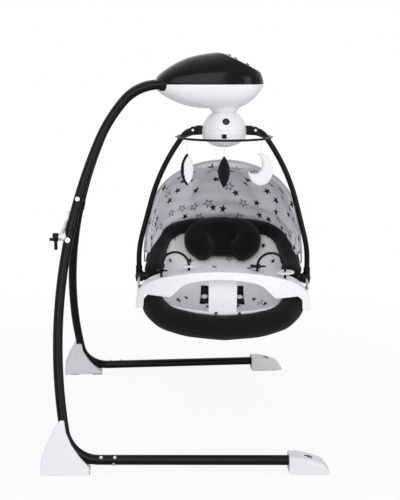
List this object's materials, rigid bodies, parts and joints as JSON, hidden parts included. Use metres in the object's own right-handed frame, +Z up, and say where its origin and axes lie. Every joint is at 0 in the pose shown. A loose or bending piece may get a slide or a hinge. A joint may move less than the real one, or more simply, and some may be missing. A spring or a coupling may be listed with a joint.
{
  "type": "baby swing",
  "caption": "Infant swing: motor head on a folding bent-tube stand hangs a turning padded seat with canopy, play tray and hanging toys",
  "frame": {"origin": "on the floor, at the middle of the rectangle the stand and seat cover from above", "axes": "+Z up; +X along the leg tubes from the heel brackets to the toe feet; the seat faces -Y, turned five degrees on its hub"},
  "size_m": [0.7432, 0.8374, 1.0522],
  "materials": {
    "black_paint": "satin powder coat",
    "white_plastic": "gloss moulded",
    "black_plastic": "gloss moulded",
    "dark_plastic": "fine texture",
    "grey_plastic": "satin moulded",
    "rubber": "matte",
    "steel": "brushed",
    "wire": "bright plated",
    "coil": "enamelled copper wire",
    "board": "lacquered board",
    "canopy_cloth": "printed woven cloth",
    "roll_cloth": "padded woven cloth",
    "pad_cloth": "printed padded cloth",
    "pillow_cloth": "short plush",
    "webbing": "woven webbing",
    "string": "twisted string",
    "toy_cloth": "stuffed felt"
  },
  "bodies": {
    "head": {"head_upper_cover": "black_plastic", "head_lower_cover": "white_plastic", "control_plate": "white_plastic", "circuit_board": "board", "drive_coil": "coil", "battery_box": "dark_plastic", "tube_sockets": "black_plastic", "cover_screws": "steel", "swing_bearings": "grey_plastic"},
    "near_side": {"near_upper_tube": "black_paint", "near_lower_tube": "black_paint", "near_leg_tube": "black_paint", "near_heel_bracket": "white_plastic", "near_toe_foot": "white_plastic", "near_foot_pads": "rubber", "near_tube_bolts": "steel", "lock_hub": "white_plastic"},
    "far_side": {"far_upper_tube": "black_paint", "far_lower_tube": "black_paint", "far_leg_tube": "black_paint", "far_heel_bracket": "white_plastic", "far_toe_foot": "white_plastic", "far_foot_pads": "rubber", "far_tube_bolts": "steel", "spreader_pivot": "white_plastic"},
    "spreader": {"spreader_bar": "steel"},
    "lock_lever": {"lock_lever": "black_plastic"},
    "hub": {"swing_stem": "steel", "drive_magnet": "steel", "hub_dome": "white_plastic"},
    "carrier": {"hub_carrier": "white_plastic", "hub_bowl": "white_plastic", "arm_brackets": "black_plastic", "hanger_arms": "black_paint", "arm_rivets": "white_plastic", "arm_feet": "black_plastic", "toy_ring": "black_plastic"},
    "latch": {"hub_latch": "grey_plastic"},
    "seat": {"seat_shell": "dark_plastic", "seat_pad": "pad_cloth", "back_roll": "roll_cloth", "front_roll": "roll_cloth", "head_pillow": "pillow_cloth", "harness": "webbing", "canopy_rear": "canopy_cloth"},
    "canopy": {"canopy_hoop": "wire", "canopy_front": "canopy_cloth"},
    "tray": {"tray": "white_plastic", "tray_arches": "black_plastic", "star_discs": "black_plastic", "round_discs": "white_plastic"},
    "power_key": {"power_button": "black_plastic"},
    "speed_key": {"speed_button": "black_plastic"},
    "music_key": {"music_button": "black_plastic"},
    "leaf": {"leaf_string": "string", "leaf_toy": "toy_cloth"},
    "drop": {"drop_string": "string", "drop_toy": "toy_cloth"},
    "moon": {"moon_string": "string", "moon_toy": "toy_cloth"}
  },
  "joints": [
    {"name": "near_side_fold", "type": "hinge", "parent": "head", "child": "near_side", "pos_m": [0.00239, -0.062, 0.966], "axis": [0.9991, -0.0419, 0], "range_deg": [0, 15]},
    {"name": "far_side_fold", "type": "hinge", "parent": "head", "child": "far_side", "pos_m": [0.00239, 0.062, 0.966], "axis": [0.9991, 0.0419, 0], "range_deg": [-15, 0]},
    {"name": "spreader_swing", "type": "hinge", "parent": "far_side", "child": "spreader", "pos_m": [-0.32493, 0.18095, 0.575], "axis": [1, 0, 0], "range_deg": [-60, 0]},
    {"name": "lock_lever_turn", "type": "hinge", "parent": "near_side", "child": "lock_lever", "pos_m": [-0.33693, -0.18095, 0.575], "axis": [1, 0, 0], "range_deg": [-45, 45]},
    {"name": "head_swing", "type": "hinge", "parent": "head", "child": "hub", "pos_m": [0.12139, 0, 0.924], "axis": [1, 0, 0], "range_deg": [-12, 12]},
    {"name": "seat_turn", "type": "hinge", "parent": "hub", "child": "carrier", "pos_m": [0.12139, 0, 0.8435], "axis": [0, 0, 1], "range_deg": [-85, 95]},
    {"name": "latch_press", "type": "slide", "parent": "carrier", "child": "latch", "axis": [0.0872, 0.9962, 0], "range_m": [0, 0.002], "stiffness_N_per_m": 400},
    {"name": "recline", "type": "hinge", "parent": "carrier", "child": "seat", "pos_m": [0.12139, 0, 0.42], "axis": [0.9962, -0.0872, 0], "range_deg": [-15, 0]},
    {"name": "canopy_fold", "type": "hinge", "parent": "seat", "child": "canopy", "pos_m": [0.12444, 0.03487, 0.453], "axis": [0.9962, -0.0872, 0], "range_deg": [-22, 0]},
    {"name": "tray_lift", "type": "slide", "parent": "seat", "child": "tray", "axis": [0, 0, 1], "range_m": [0, 0.04]},
    {"name": "power_press", "type": "slide", "parent": "head", "child": "power_key", "axis": [-0.4384, 0, -0.8988], "range_m": [0, 0.0015], "stiffness_N_per_m": 400},
    {"name": "speed_press", "type": "slide", "parent": "head", "child": "speed_key", "axis": [-0.4384, 0, -0.8988], "range_m": [0, 0.0015], "stiffness_N_per_m": 400},
    {"name": "music_press", "type": "slide", "parent": "head", "child": "music_key", "axis": [-0.4384, 0, -0.8988], "range_m": [0, 0.0015], "stiffness_N_per_m": 400},
    {"name": "leaf_dangle", "type": "hinge", "parent": "carrier", "child": "leaf", "pos_m": [0.01408, -0.07514, 0.822], "axis": [0.5736, -0.8192, 0], "range_deg": [-25, 25]},
    {"name": "drop_dangle", "type": "hinge", "parent": "carrier", "child": "drop", "pos_m": [0.10997, -0.1305, 0.822], "axis": [0.9962, -0.0872, 0], "range_deg": [-25, 25]},
    {"name": "moon_dangle", "type": "hinge", "parent": "carrier", "child": "moon", "pos_m": [0.21402, -0.09263, 0.822], "axis": [0.7071, 0.7071, 0], "range_deg": [-25, 25]}
  ],
  "couplings": [
    {"joint": "far_side_fold", "follows": "near_side_fold", "ratio": -1},
    {"joint": "spreader_swing", "follows": "near_side_fold", "ratio": -4}
  ]
}
